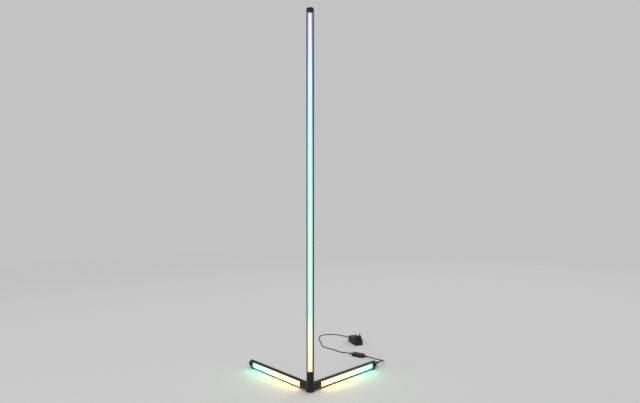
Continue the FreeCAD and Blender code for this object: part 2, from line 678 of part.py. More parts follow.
def cord(name, points):
    """Round cord: straight runs between the points, joined by tangent arcs."""
    knots = [V(*p) for p in points]
    edges = []
    radii = []
    length = 0.0
    start = knots[0]
    for before, here, after in zip(knots, knots[1:], knots[2:]):
        into = (here - before).normalize()
        out = (after - here).normalize()
        turn = into.getAngle(out)
        trim = ARC_SHARE * min(here.distanceToPoint(before), here.distanceToPoint(after))
        radius = trim / math.tan(turn / 2)
        bisector = (out - into).normalize()
        arc_start, arc_end = here - into * trim, here + out * trim
        apex = here + bisector * (radius / math.cos(turn / 2) - radius)
        edges.append(Part.LineSegment(start, arc_start).toShape())
        edges.append(Part.Arc(arc_start, apex, arc_end).toShape())
        length += start.distanceToPoint(arc_start) + radius * turn
        radii.append(round(radius))
        start = arc_end
    edges.append(Part.LineSegment(start, knots[-1]).toShape())
    length += start.distanceToPoint(knots[-1])
    path = Part.Wire(edges)
    ring = Part.Wire(Part.makeCircle(CORD_RADIUS, knots[0], knots[1] - knots[0]))
    solid = path.makePipeShell([ring], True, False)
    expected = math.pi * CORD_RADIUS ** 2 * length
    print(name, "length %.0f mm" % length, "radii", radii,
          "volume / (section x length) %.4f" % (solid.Volume / expected))
    return solid


# ---- controller ---------------------------------------------------------------------

CONTROLLER = FreeCAD.Placement(V(CONTROLLER_CENTRE[0], CONTROLLER_CENTRE[1], 0),
                               FreeCAD.Rotation(V(0, 0, 1), CONTROLLER_HEADING))
BUTTONS = {"power": BUTTON_OFFSET - BUTTON_PITCH, "mode": BUTTON_OFFSET,
           "speed": BUTTON_OFFSET + BUTTON_PITCH}


def controller_case():
    """The controller's outer form and the space inside it."""
    outer = rounded_slab(CONTROLLER_LENGTH, CONTROLLER_WIDTH, 0, CONTROLLER_HEIGHT,
                         CONTROLLER_CORNER)
    rims = edges_at(outer, 0) + edges_at(outer, CONTROLLER_HEIGHT)
    outer = outer.makeFillet(CONTROLLER_EDGE, rims)
    inner = rounded_slab(CONTROLLER_LENGTH - 2 * CONTROLLER_WALL,
                         CONTROLLER_WIDTH - 2 * CONTROLLER_WALL, CONTROLLER_WALL,
                         CONTROLLER_HEIGHT - CONTROLLER_WALL, CONTROLLER_CORNER - CONTROLLER_WALL)
    groove = parting_groove(CONTROLLER_LENGTH, CONTROLLER_WIDTH, CONTROLLER_CORNER,
                            CONTROLLER_EXIT)
    return outer.cut(groove), inner


def half_shell(outer, inner, low, high):
    """The part of a hollow case between two levels."""
    reach = outer.BoundBox.DiagonalLength
    return outer.cut(inner).common(block(-reach, reach, -reach, reach, low, high))


def parting_groove(length, width, corner, level):
    """Fine groove around a case, along the joint of its two shells."""
    low, high = level - PARTING_WIDTH / 2, level + PARTING_WIDTH / 2
    around = rounded_slab(length + 2 * PAST, width + 2 * PAST, low, high, corner + PAST)
    return around.cut(rounded_slab(length - 2 * PARTING_DEPTH, width - 2 * PARTING_DEPTH,
                                   low, high, corner - PARTING_DEPTH))


def board_posts(half_l, half_w, inset, radius, low, high):
    """Four posts in a case, under the corners of its board."""
    return [cylinder(radius, low - BITE, high, x * (half_l - inset[0]), y * (half_w - inset[1]))
            for x in (-1, 1) for y in (-1, 1)]


def controller_lower_shell():
    """Lower shell, up to the level of the cords, with the board's posts."""
    outer, inner = controller_case()
    half_l, half_w = controller_board_half()
    shell = half_shell(outer, inner, 0, CONTROLLER_EXIT)
    return shell.fuse(board_posts(half_l, half_w, BOARD_POST_INSET, BOARD_POST_RADIUS,
                                  CONTROLLER_WALL, CONTROLLER_BOARD_LEVEL)).removeSplitter()


def controller_upper_shell():
    """Upper shell, with the holes for its buttons and the receiver's lens."""
    outer, inner = controller_case()
    shell = half_shell(outer, inner, CONTROLLER_EXIT, CONTROLLER_HEIGHT)
    hole = BUTTON_RADIUS + BUTTON_GAP
    for x in BUTTONS.values():
        shell = shell.cut(cylinder(hole, CONTROLLER_EXIT, CONTROLLER_HEIGHT + PAST, x))
        shell = shell.cut(Part.makeCone(hole, hole + BUTTON_WELL, BUTTON_WELL,
                                        V(x, 0, CONTROLLER_HEIGHT - BUTTON_WELL)))
    return shell.cut(cylinder(LENS_RADIUS, CONTROLLER_EXIT, CONTROLLER_HEIGHT + PAST, LENS_OFFSET))


def controller_button(x):
    """Crowned button with a flange that keeps it in, and a stem over its switch."""
    top = CONTROLLER_HEIGHT + BUTTON_PROUD
    flange = BUTTON_RADIUS + BUTTON_FLANGE
    crown = BUTTON_RADIUS - BUTTON_EDGE
    form = turned([(0, BUTTON_STEM_LOW), (BUTTON_STEM_RADIUS, BUTTON_STEM_LOW),
                   (BUTTON_STEM_RADIUS, BUTTON_FLANGE_LOW), (flange, BUTTON_FLANGE_LOW),
                   (flange, BUTTON_CEILING), (BUTTON_RADIUS, BUTTON_CEILING),
                   (BUTTON_RADIUS, top - BUTTON_CROWN - BUTTON_EDGE),
                   (crown, top - BUTTON_CROWN)] + dome(crown, BUTTON_CROWN, top))
    form.translate(V(x, 0, 0))
    return form


def controller_board_half():
    """Half length and half width of the controller's board."""
    margin = CONTROLLER_WALL + CONTROLLER_BOARD_MARGIN
    return CONTROLLER_LENGTH / 2 - margin, CONTROLLER_WIDTH / 2 - margin


def controller_board():
    """Board with the three switches, the receiver and the main chip."""
    half_l, half_w = controller_board_half()
    high = CONTROLLER_BOARD_LEVEL + BOARD_THICKNESS
    board = block(-half_l, half_l, -half_w, half_w, CONTROLLER_BOARD_LEVEL, high)
    switch, receiver = SWITCH_SIDE / 2, RECEIVER_SIDE / 2
    chip_x, chip_y = CHIP_INSET - half_l, half_w - CHIP_INSET
    parts = [block(x - switch, x + switch, -switch, switch, high, SWITCH_TOP)
             for x in BUTTONS.values()]
    parts.append(block(LENS_OFFSET - receiver, LENS_OFFSET + receiver, -receiver, receiver,
                       high, LENS_LOW - RECEIVER_GAP))
    parts.append(block(chip_x, chip_x + CHIP_SIDE, chip_y - CHIP_SIDE, chip_y,
                       high, high + CHIP_HEIGHT))
    return board.fuse(parts).removeSplitter()


def receiver_lens():
    """Dark window over the infrared receiver."""
    return cylinder(LENS_RADIUS - LENS_GAP, LENS_LOW, LENS_LOW + LENS_THICKNESS, LENS_OFFSET)


# ---- wall adapter -------------------------------------------------------------------

ADAPTER = FreeCAD.Placement(V(ADAPTER_CABLE_END[0], ADAPTER_CABLE_END[1], 0),
                            FreeCAD.Rotation(V(0, 0, 1), ADAPTER_HEADING)).multiply(
    FreeCAD.Placement(V(ADAPTER_LENGTH / 2, 0, 0), FreeCAD.Rotation()))
NOSE_X = ADAPTER_LENGTH / 2 - NOSE_FROM_END
NOSE_TOP = ADAPTER_DEPTH + NOSE_HEIGHT
PIN_LOW = NOSE_TOP - PIN_ROOT_LENGTH
PIN_TIP = NOSE_TOP + PIN_LENGTH
PIN_PLACES = [(NOSE_X, side * PIN_SPACING / 2) for side in (-1, 1)]


def nose():
    """Oblong block that enters a recessed wall socket, turned across the adapter."""
    form = rounded_slab(NOSE_LENGTH, NOSE_WIDTH, ADAPTER_DEPTH - BITE, NOSE_TOP,
                        NOSE_WIDTH / 2 - NOSE_FLAT)
    form = form.makeChamfer(NOSE_EDGE, edges_at(form, NOSE_TOP))
    form.rotate(V(0, 0, 0), V(0, 0, 1), 90)
    form.translate(V(NOSE_X, 0, 0))
    return form


def adapter_pins():
    """The two mains pins, round, with a slimmer root and a domed tip."""
    form = turned([(0, PIN_LOW), (PIN_ROOT_RADIUS, PIN_LOW), (PIN_ROOT_RADIUS, NOSE_TOP),
                   (PIN_RADIUS, NOSE_TOP), (PIN_RADIUS, PIN_TIP - PIN_RADIUS)]
                  + dome(PIN_RADIUS, PIN_RADIUS, PIN_TIP))
    pins = []
    for x, y in PIN_PLACES:
        pin = form.copy()
        pin.translate(V(x, y, 0))
        pins.append(pin)
    return pins


def adapter_case():
    """The adapter's outer form and the space inside it."""
    outer = rounded_slab(ADAPTER_LENGTH, ADAPTER_WIDTH, 0, ADAPTER_DEPTH, ADAPTER_CORNER)
    outer = outer.makeFillet(ADAPTER_EDGE, edges_at(outer, 0) + edges_at(outer, ADAPTER_DEPTH))
    inner = rounded_slab(ADAPTER_LENGTH - 2 * ADAPTER_WALL, ADAPTER_WIDTH - 2 * ADAPTER_WALL,
                         ADAPTER_WALL, ADAPTER_DEPTH - ADAPTER_WALL,
                         ADAPTER_CORNER - ADAPTER_WALL)
    groove = parting_groove(ADAPTER_LENGTH, ADAPTER_WIDTH, ADAPTER_CORNER, ADAPTER_SPLIT)
    return outer.cut(groove), inner


def adapter_rear_shell():
    """Rear half of the case, with the nose and the seats of the pins."""
    outer, inner = adapter_case()
    shell = half_shell(outer, inner, ADAPTER_SPLIT, ADAPTER_DEPTH).fuse(nose())
    for x, y in PIN_PLACES:
        shell = shell.cut(cylinder(PIN_ROOT_RADIUS, PIN_LOW, NOSE_TOP + PAST, x, y))
    return shell.removeSplitter()


def adapter_front_shell():
    """Front half of the case, with the board's posts."""
    outer, inner = adapter_case()
    half_l, half_w = adapter_board_half()
    shell = half_shell(outer, inner, 0, ADAPTER_SPLIT)
    inset = (ADAPTER_POST_INSET, ADAPTER_POST_INSET)
    return shell.fuse(board_posts(half_l, half_w, inset, ADAPTER_POST_RADIUS,
                                  ADAPTER_WALL, ADAPTER_BOARD_LEVEL)).removeSplitter()


def adapter_board_half():
    """Half length and half width of the adapter's board."""
    margin = ADAPTER_WALL + ADAPTER_BOARD_MARGIN
    return ADAPTER_LENGTH / 2 - margin, ADAPTER_WIDTH / 2 - margin


def adapter_board():
    """Board with the transformer, the two big capacitors and a heat plate."""
    half_l, half_w = adapter_board_half()
    high = ADAPTER_BOARD_LEVEL + BOARD_THICKNESS
    ceiling = ADAPTER_DEPTH - ADAPTER_WALL
    side, plate = TRANSFORMER_SIDE / 2, HEAT_PLATE_WIDTH / 2
    parts = [block(-side, side, -side, side, high, ceiling - TRANSFORMER_ROOM),
             block(HEAT_PLATE_OFFSET, HEAT_PLATE_OFFSET + HEAT_PLATE_THICKNESS, -plate, plate,
                   high, ceiling - HEAT_PLATE_ROOM)]
    for end in (-1, 1):
        parts.append(cylinder(CAPACITOR_RADIUS, high, ceiling - CAPACITOR_ROOM,
                              end * CAPACITOR_OFFSET[0], end * CAPACITOR_OFFSET[1]))
    board = block(-half_l, half_l, -half_w, half_w, ADAPTER_BOARD_LEVEL, high)
    return board.fuse(parts).removeSplitter()


# ---- routes of the two cords --------------------------------------------------------

RELIEF_OUT = CONTROLLER_LENGTH / 2 + RELIEF_LENGTH
PLUG_TAIL = BAR_END + PLUG_FACE_GAP + PLUG_GRIP_LENGTH + RELIEF_LENGTH
LEAVE = 15.0                 # a cord's first run, straight out of its strain relief


def along(place, x, y, z):
    """A point in a housing's own frame, as the lamp's frame has it."""
    at = place.multVec(V(x, y, z))
    return (at.x, at.y, at.z)


OUTPUT_ROUTE = [
    along(RIGHT, 0, 0, PLUG_TAIL), along(RIGHT, 0, 0, PLUG_TAIL + LEAVE),
    (325, 336, 11), (322, 360, 4.4), (305, 382, 2.3),
    along(CONTROLLER, RELIEF_OUT + LEAVE + 18, 2, 2.8),
    along(CONTROLLER, RELIEF_OUT + LEAVE, 0, CONTROLLER_EXIT),
    along(CONTROLLER, RELIEF_OUT, 0, CONTROLLER_EXIT)]
ADAPTER_ROUTE = [
    along(CONTROLLER, -RELIEF_OUT, 0, CONTROLLER_EXIT),
    along(CONTROLLER, -RELIEF_OUT - LEAVE, 0, CONTROLLER_EXIT),
    (136, 480, 2.6), (112, 508, 2.2), (84, 536, 2.3), (56, 556, 2.2), (38, 584, 2.3),
    (31, 622, 2.2), (26, 662, 2.3), (19, 702, 2.2), (15, 740, 2.3), (25, 774, 2.2),
    (54, 796, 2.3), (92, 801, 2.2), (129, 787, 2.3), (156, 761, 3.2),
    along(ADAPTER, -ADAPTER_LENGTH / 2 - RELIEF_LENGTH - LEAVE - 19, 1, 8.5),
    along(ADAPTER, -ADAPTER_LENGTH / 2 - RELIEF_LENGTH - LEAVE, 0, ADAPTER_EXIT),
    along(ADAPTER, -ADAPTER_LENGTH / 2 - RELIEF_LENGTH, 0, ADAPTER_EXIT)]


def housing_relief(place, x, z, outward):
    """Strain relief on a housing's end, pointing away from it."""
    turn = FreeCAD.Rotation(V(0, 1, 0), 90 * outward)
    return put(strain_relief(), place.multiply(FreeCAD.Placement(V(x, 0, z), turn)))


# ---- assembly -----------------------------------------------------------------------

def build_post():
    """Three tube sections on two inner couplers, with one strip, one diffuser and a cap."""
    joints = [POST_LIT_START + i * SECTION_LENGTH for i in range(1, POST_SECTIONS)]
    ends = [POST_LIT_START] + joints + [POST_LIT_END]
    screws_at = [at + side * COUPLER_SCREW_REACH for at in joints for side in (-1, 1)]
    all_screws = [POST_LIT_START + HUB_SCREW_REACH] + screws_at
    for number, (low, high) in enumerate(zip(ends, ends[1:]), 1):
        own = [at for at in all_screws if low < at < high]
        export("post_section_%d" % number, put(tube(low, high, own), POST))
    for number, at in enumerate(joints, 1):
        bar = key(at - COUPLER_LENGTH / 2, at + COUPLER_LENGTH / 2)
        for side in (-1, 1):
            bar = bar.cut(screw_recess(at + side * COUPLER_SCREW_REACH))
        export("post_coupler_%d" % number, put(bar, POST))
    export_group("post_coupler_screws", [put(screw(at), POST) for at in screws_at])
    export("post_led_strip", put(led_strip(POST_LIT_START, POST_LIT_END), POST))
    export("post_diffuser", put(diffuser(POST_LIT_START, POST_LIT_END), POST))
    export("post_top_cap", put(end_cap(POST_LIT_END, TOTAL_HEIGHT), POST))


def bar_foot():
    """Rubber pad that cradles the underside of a bar near its end."""
    low = BAR_END - BAR_FOOT_INSET - BAR_FOOT_LENGTH
    half = BAR_FOOT_WIDTH / 2
    pad = block(-BAR_HEIGHT, -BAR_HEIGHT + FOOT_HEIGHT + BAR_FOOT_RISE, -half, half,
                low, low + BAR_FOOT_LENGTH)
    return pad.cut(cylinder(TUBE_RADIUS + FOOT_GLUE, low, low + BAR_FOOT_LENGTH))


def build_bar(side, frame, inlet):
    """One floor bar; the right one also holds the inlet in its end cap."""
    turned_over = FreeCAD.Placement(V(0, 0, 0), FreeCAD.Rotation(V(0, 0, 1), 180))
    export(side + "_bar_tube",
           put(tube(BAR_LIT_START, BAR_LIT_END, [BAR_LIT_START + HUB_SCREW_REACH]), frame))
    export(side + "_bar_led_strip", put(led_strip(BAR_LIT_START, BAR_LIT_END), frame))
    export(side + "_bar_diffuser", put(diffuser(BAR_LIT_START, BAR_LIT_END), frame))
    cap = end_cap(BAR_LIT_END, BAR_END)
    if inlet:
        for space in inlet_pocket():
            cap = cap.cut(space)
    export(side + "_bar_end_cap", put(cap, frame))
    foot = bar_foot() if side == "right" else put(bar_foot(), turned_over)
    export(side + "_bar_foot", put(foot, frame))


def build_hub():
    """Hub moulding, its cover, foot, board and the wiring inside."""
    export("corner_hub", corner_hub())
    export("hub_cover", hub_cover())
    export_group("hub_cover_screws", cover_screws())
    export("hub_foot", hub_foot())
    export("junction_board", junction_board())
    export_group("hub_arm_screws",
                 [put(screw(POST_LIT_START + HUB_SCREW_REACH), POST),
                  put(screw(BAR_LIT_START + HUB_SCREW_REACH), RIGHT),
                  put(screw(BAR_LIT_START + HUB_SCREW_REACH), LEFT)])
    bar_end = BAR_LIT_START + STRIP_END_GAP
    export("right_ribbon", put(ribbon(SOCKET_FAR, bar_end), RIGHT))
    export("left_ribbon", put(ribbon(SOCKET_FAR, bar_end), LEFT))
    export("post_ribbon", put(ribbon(BOARD_TOP + POST_SOCKET_HEIGHT,
                                     POST_LIT_START + STRIP_END_GAP), POST))
    export("feed_cable", put(cylinder(FEED_RADIUS, SOCKET_FAR,
                                      JACK_REAR - JACK_TAIL, 0, FEED_OFFSET), RIGHT))


def build_supply():
    """Inlet, plug, controller, adapter and the two cords between them."""
    export("dc_jack", put(dc_jack(), RIGHT))
    export("dc_plug_barrel", put(plug_barrel(), RIGHT))
    export("dc_plug_body", put(plug_body(), RIGHT))
    export("output_lead", cord("output_lead", OUTPUT_ROUTE))
    export("controller_lower_shell", put(controller_lower_shell(), CONTROLLER))
    export("controller_upper_shell", put(controller_upper_shell(), CONTROLLER))
    for name, x in BUTTONS.items():
        export("controller_button_" + name, put(controller_button(x), CONTROLLER))
    export("controller_board", put(controller_board(), CONTROLLER))
    export("controller_receiver_lens", put(receiver_lens(), CONTROLLER))
    half = CONTROLLER_LENGTH / 2
    export("controller_relief_out", housing_relief(CONTROLLER, half, CONTROLLER_EXIT, 1))
    export("controller_relief_in", housing_relief(CONTROLLER, -half, CONTROLLER_EXIT, -1))
    export("adapter_lead", cord("adapter_lead", ADAPTER_ROUTE))
    export("adapter_relief", housing_relief(ADAPTER, -ADAPTER_LENGTH / 2, ADAPTER_EXIT, -1))
    export("adapter_front_shell", put(adapter_front_shell(), ADAPTER))
    export("adapter_rear_shell", put(adapter_rear_shell(), ADAPTER))
    export("adapter_board", put(adapter_board(), ADAPTER))
    export_group("adapter_pins", [put(pin, ADAPTER) for pin in adapter_pins()])


os.makedirs("parts", exist_ok=True)
build_post()
build_bar("right", RIGHT, True)
build_bar("left", LEFT, False)
build_hub()
build_supply()
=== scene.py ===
"""Finishes, lit diffusers, cords, studio and camera of the corner floor lamp.

Metres, +Z up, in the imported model's own frame: the origin is on the floor under the post,
and the open side of the V of floor bars faces +Y.
"""

import math

import bmesh
import bpy
from bpy.props import FloatProperty, FloatVectorProperty, PointerProperty
from mathutils import Euler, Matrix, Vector


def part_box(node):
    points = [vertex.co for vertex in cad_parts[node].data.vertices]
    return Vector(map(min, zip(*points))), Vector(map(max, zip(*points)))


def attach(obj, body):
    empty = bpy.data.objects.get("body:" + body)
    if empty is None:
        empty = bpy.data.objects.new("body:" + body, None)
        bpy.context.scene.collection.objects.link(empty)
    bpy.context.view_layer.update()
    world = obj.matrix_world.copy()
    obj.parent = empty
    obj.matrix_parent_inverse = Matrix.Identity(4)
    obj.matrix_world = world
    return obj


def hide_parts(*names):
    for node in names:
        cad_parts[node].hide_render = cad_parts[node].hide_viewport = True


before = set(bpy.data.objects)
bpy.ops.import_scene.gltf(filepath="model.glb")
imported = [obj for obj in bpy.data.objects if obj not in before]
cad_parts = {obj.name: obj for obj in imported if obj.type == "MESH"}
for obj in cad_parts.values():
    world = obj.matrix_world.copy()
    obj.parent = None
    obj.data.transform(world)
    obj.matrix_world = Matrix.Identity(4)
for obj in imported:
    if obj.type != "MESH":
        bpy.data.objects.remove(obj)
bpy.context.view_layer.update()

bl_info = {
    "name": "Corner floor lamp",
    "version": (1, 0, 0),
    "blender": (4, 5, 0),
    "location": "3D View > Sidebar > Corner Lamp",
    "description": "Finishes, cords and studio of a corner floor lamp with a lit post and bars",
    "category": "Object",
}

MM = 0.001

# ---- places read from the frame -----------------------------------------------------

POST_LIGHT_LOW, POST_LIGHT_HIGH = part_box("post_diffuser")
POST_LIGHT_LENGTH = POST_LIGHT_HIGH.z - POST_LIGHT_LOW.z
LIGHT_HALF_WIDTH = POST_LIGHT_HIGH.x
LIGHT_DEPTH = POST_LIGHT_HIGH.y - POST_LIGHT_LOW.y

# The right bar runs between +X and +Y, at BAR_HEADING from +X, and the left bar mirrors it.
# Its light starts and ends at these distances from the post's axis, measured along the bar.
BAR_HEADING = 45.0           # degrees
BAR_LIGHT_LOW, BAR_LIGHT_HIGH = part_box("right_bar_diffuser")
BAR_HEIGHT = (BAR_LIGHT_LOW.z + BAR_LIGHT_HIGH.z) / 2
BAR_LIGHT_NEAR = (BAR_LIGHT_LOW.x + BAR_LIGHT_LOW.y) / math.sqrt(2) + LIGHT_DEPTH / 2
BAR_LIGHT_FAR = (BAR_LIGHT_HIGH.x + BAR_LIGHT_HIGH.y) / math.sqrt(2) - LIGHT_DEPTH / 2

PIN_SLEEVE_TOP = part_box("adapter_rear_shell")[1].z + 9.5 * MM
PIN_SLEEVE_EDGE = 0.2 * MM

# ---- how the light fades over a diffuser ---------------------------------------------

WHITE_CORE = 1.3             # level that every colour reaches where a diffuser reads as white
POST_SIDE_FADE = (0.08, 0.92)        # shares of the half width
POST_END_FADE = (6 * MM, 8 * MM)     # lengths, at the foot and at the top
BAR_SIDE_FADE = (0.60, 0.95)
BAR_END_FADE = (4 * MM, 14 * MM)     # lengths, by the hub and at the far end

# ---- patterns of the finishes ---------------------------------------------------------

# marks per metre
DIE_LINES = 1400.0           # across an extruded tube
DIE_LINE_STRETCH = 0.01      # along it, as a share of that
HANDLING_CLOUD = 22.0
HUB_GRAIN = 1500.0
INLET_GRAIN = 1800.0
HOUSING_GRAIN = 1100.0
MOULD_CLOUD = 35.0
METAL_MARKS = 900.0
PIN_MARKS = 1200.0
RUBBER_BLOOM = 90.0
RUBBER_GRAIN = 2200.0
BOARD_TRACKS = 900.0
TRACK_STRETCH = 0.15         # along the tracks, as a share of that
TRACK_EDGE = (0.52, 0.58)    # noise levels between which a track starts
WINDOW_CLOUD = 200.0

# depths
DIE_LINE_DEPTH = 0.02 * MM
MOULD_GRAIN_DEPTH = 0.05 * MM
RUBBER_GRAIN_DEPTH = 0.03 * MM

# ---- studio --------------------------------------------------------------------------

FLOOR_RADIUS = 6.0
FLOOR_FADE = (1.0, 5.4)      # distances from the post between which the floor fades out
LIGHT_TARGET = (0.0, 0.2, 0.5)
SOFT_LIGHTS = {              # place, side of the square and power in watts
    "key_light": ((-4.5, -5.5, 6.5), 4.0, 250.0),
    "top_light": ((0.5, 1.5, 9.0), 5.0, 250.0),
    "back_light": ((5.0, 6.0, 6.0), 4.0, 120.0),
}

# ---- routes of the two cords, as control points -------------------------------------

OUTPUT_ROUTE = [
    (0.3058, 0.3058, 0.018), (0.3164, 0.3164, 0.018), (0.325, 0.336, 0.011),
    (0.322, 0.36, 0.0044), (0.305, 0.382, 0.0023), (0.2862, 0.3908, 0.0028),
    (0.2698, 0.3983, 0.007), (0.2569, 0.406, 0.007),
]
ADAPTER_ROUTE = [
    (0.1691, 0.458, 0.007), (0.1562, 0.4657, 0.007), (0.136, 0.48, 0.0026),
    (0.112, 0.508, 0.0022), (0.084, 0.536, 0.0023), (0.056, 0.556, 0.0022),
    (0.038, 0.584, 0.0023), (0.031, 0.622, 0.0022), (0.026, 0.662, 0.0023),
    (0.019, 0.702, 0.0022), (0.015, 0.74, 0.0023), (0.025, 0.774, 0.0022),
    (0.054, 0.796, 0.0023), (0.092, 0.801, 0.0022), (0.129, 0.787, 0.0023),
    (0.156, 0.761, 0.0032), (0.1689, 0.7377, 0.0085), (0.1758, 0.72, 0.015),
    (0.1819, 0.7063, 0.015),
]


# ---- sizes and colours that a user would change --------------------------------------

def colour_of(name, description, default):
    """A colour property."""
    return FloatVectorProperty(name=name, description=description, default=default,
                               subtype="COLOR", size=3, min=0.0, max=1.0)


class LampLight(bpy.types.PropertyGroup):
    """Colours of the light, and how bright the diffusers are."""
    post: FloatProperty(name="Post", description="Strength of the light along the post's middle",
                        default=10.0, min=1.0, soft_max=40.0)
    bars: FloatProperty(name="Bars", description="Strength of the light along the bars' middle",
                        default=20.0, min=1.0, soft_max=40.0)
    edge: FloatProperty(name="Edge", description="Strength of the light at a diffuser's edges",
                        default=0.55, min=0.01, soft_max=2.0)
    indigo: colour_of("Indigo", "Top of the post", (0.085, 0.065, 1.0))
    blue: colour_of("Blue", "Upper third of the post", (0.04, 0.32, 1.0))
    cyan: colour_of("Cyan", "Middle of the post", (0.01, 0.82, 0.95))
    green: colour_of("Green", "Lower half of the post, and the bars' far ends", (0.02, 1.0, 0.34))
    lime: colour_of("Lime", "Between green and amber", (0.60, 0.90, 0.10))
    amber: colour_of("Amber", "Foot of the post, and the bars' near ends", (1.0, 0.45, 0.06))


class LampFinishes(bpy.types.PropertyGroup):
    """Colours of the materials."""
    tube: colour_of("Tube", "Black anodised extrusion", (0.010, 0.010, 0.011))
    opal: colour_of("Opal", "Diffusers, where the studio lights them", (0.30, 0.31, 0.32))
    plastic: colour_of("Plastic", "Hub and end caps", (0.010, 0.010, 0.011))
    housing: colour_of("Housing", "Controller and adapter", (0.013, 0.013, 0.014))
    rubber: colour_of("Rubber", "Foot and pads", (0.018, 0.018, 0.018))
    cord: colour_of("Cord", "Cord covers and strain reliefs", (0.014, 0.014, 0.015))
    button: colour_of("Button", "Silicone buttons", (0.060, 0.060, 0.064))
    screw: colour_of("Screw", "Black zinc screws", (0.10, 0.10, 0.105))


class LampCords(bpy.types.PropertyGroup):
    """Sizes of the two cords."""
    diameter: FloatProperty(name="Diameter", description="Outer diameter of both cords",
                            default=0.004, min=0.002, max=0.01, subtype="DISTANCE",
                            unit="LENGTH")
    output_length: FloatProperty(name="Output lead", description="From plug to controller",
                                 default=0.143, subtype="DISTANCE", unit="LENGTH")
    adapter_length: FloatProperty(name="Adapter lead", description="From controller to adapter",
                                  default=0.587, subtype="DISTANCE", unit="LENGTH")


class LampStudio(bpy.types.PropertyGroup):
    """Camera, backdrop and lights."""
    position: FloatVectorProperty(name="Camera", description="Where the camera stands",
                                  default=(0.0817, -1.9567, 0.7725), subtype="TRANSLATION",
                                  unit="LENGTH")
    pitch: FloatProperty(name="Pitch", description="How far the camera looks down",
                         default=math.radians(0.743), subtype="ANGLE")
    turn: FloatProperty(name="Turn", description="How far the camera turns to its left",
                        default=math.radians(1.270), subtype="ANGLE")
    lens: FloatProperty(name="Lens", description="Focal length in millimetres",
                        default=28.125, min=1.0)
    backdrop: FloatProperty(name="Backdrop", description="Level of the pale background",
                            default=0.55, min=0.0, max=1.0, subtype="FACTOR")
    floor: FloatProperty(name="Floor", description="Lightness of the floor",
                         default=0.55, min=0.0, max=1.0, subtype="FACTOR")
    fill: FloatProperty(name="Fill", description="Level of the light from all round",
                        default=0.55, min=0.0)


# ---- shader expressions ---------------------------------------------------------------

class Signal:
    """A number that varies over a surface, written with Python's own operators."""

    def __init__(self, finish, socket):
        self.finish = finish
        self.socket = socket

    def maths(self, operation, *values):
        """A Math node on some numbers."""
        made = self.finish.node("ShaderNodeMath", {"operation": operation},
                                dict(enumerate(values)))
        return Signal(self.finish, made.outputs[0])

    def __add__(self, other):
        return self.maths("ADD", self, other)

    def __radd__(self, other):
        return self.maths("ADD", other, self)

    def __sub__(self, other):
        return self.maths("SUBTRACT", self, other)

    def __rsub__(self, other):
        return self.maths("SUBTRACT", other, self)

    def __mul__(self, other):
        return self.maths("MULTIPLY", self, other)

    def __rmul__(self, other):
        return self.maths("MULTIPLY", other, self)

    def __truediv__(self, other):
        return self.maths("DIVIDE", self, other)

    def __rpow__(self, other):
        return self.maths("POWER", other, self)

    def __abs__(self):
        return self.maths("ABSOLUTE", self)

    def smooth(self, low, high):
        """0 below low, 1 above high, and an eased step between them."""
        made = self.finish.node("ShaderNodeMapRange", {"interpolation_type": "SMOOTHSTEP"},
                                {"Value": self, "From Min": low, "From Max": high})
        return Signal(self.finish, made.outputs["Result"])


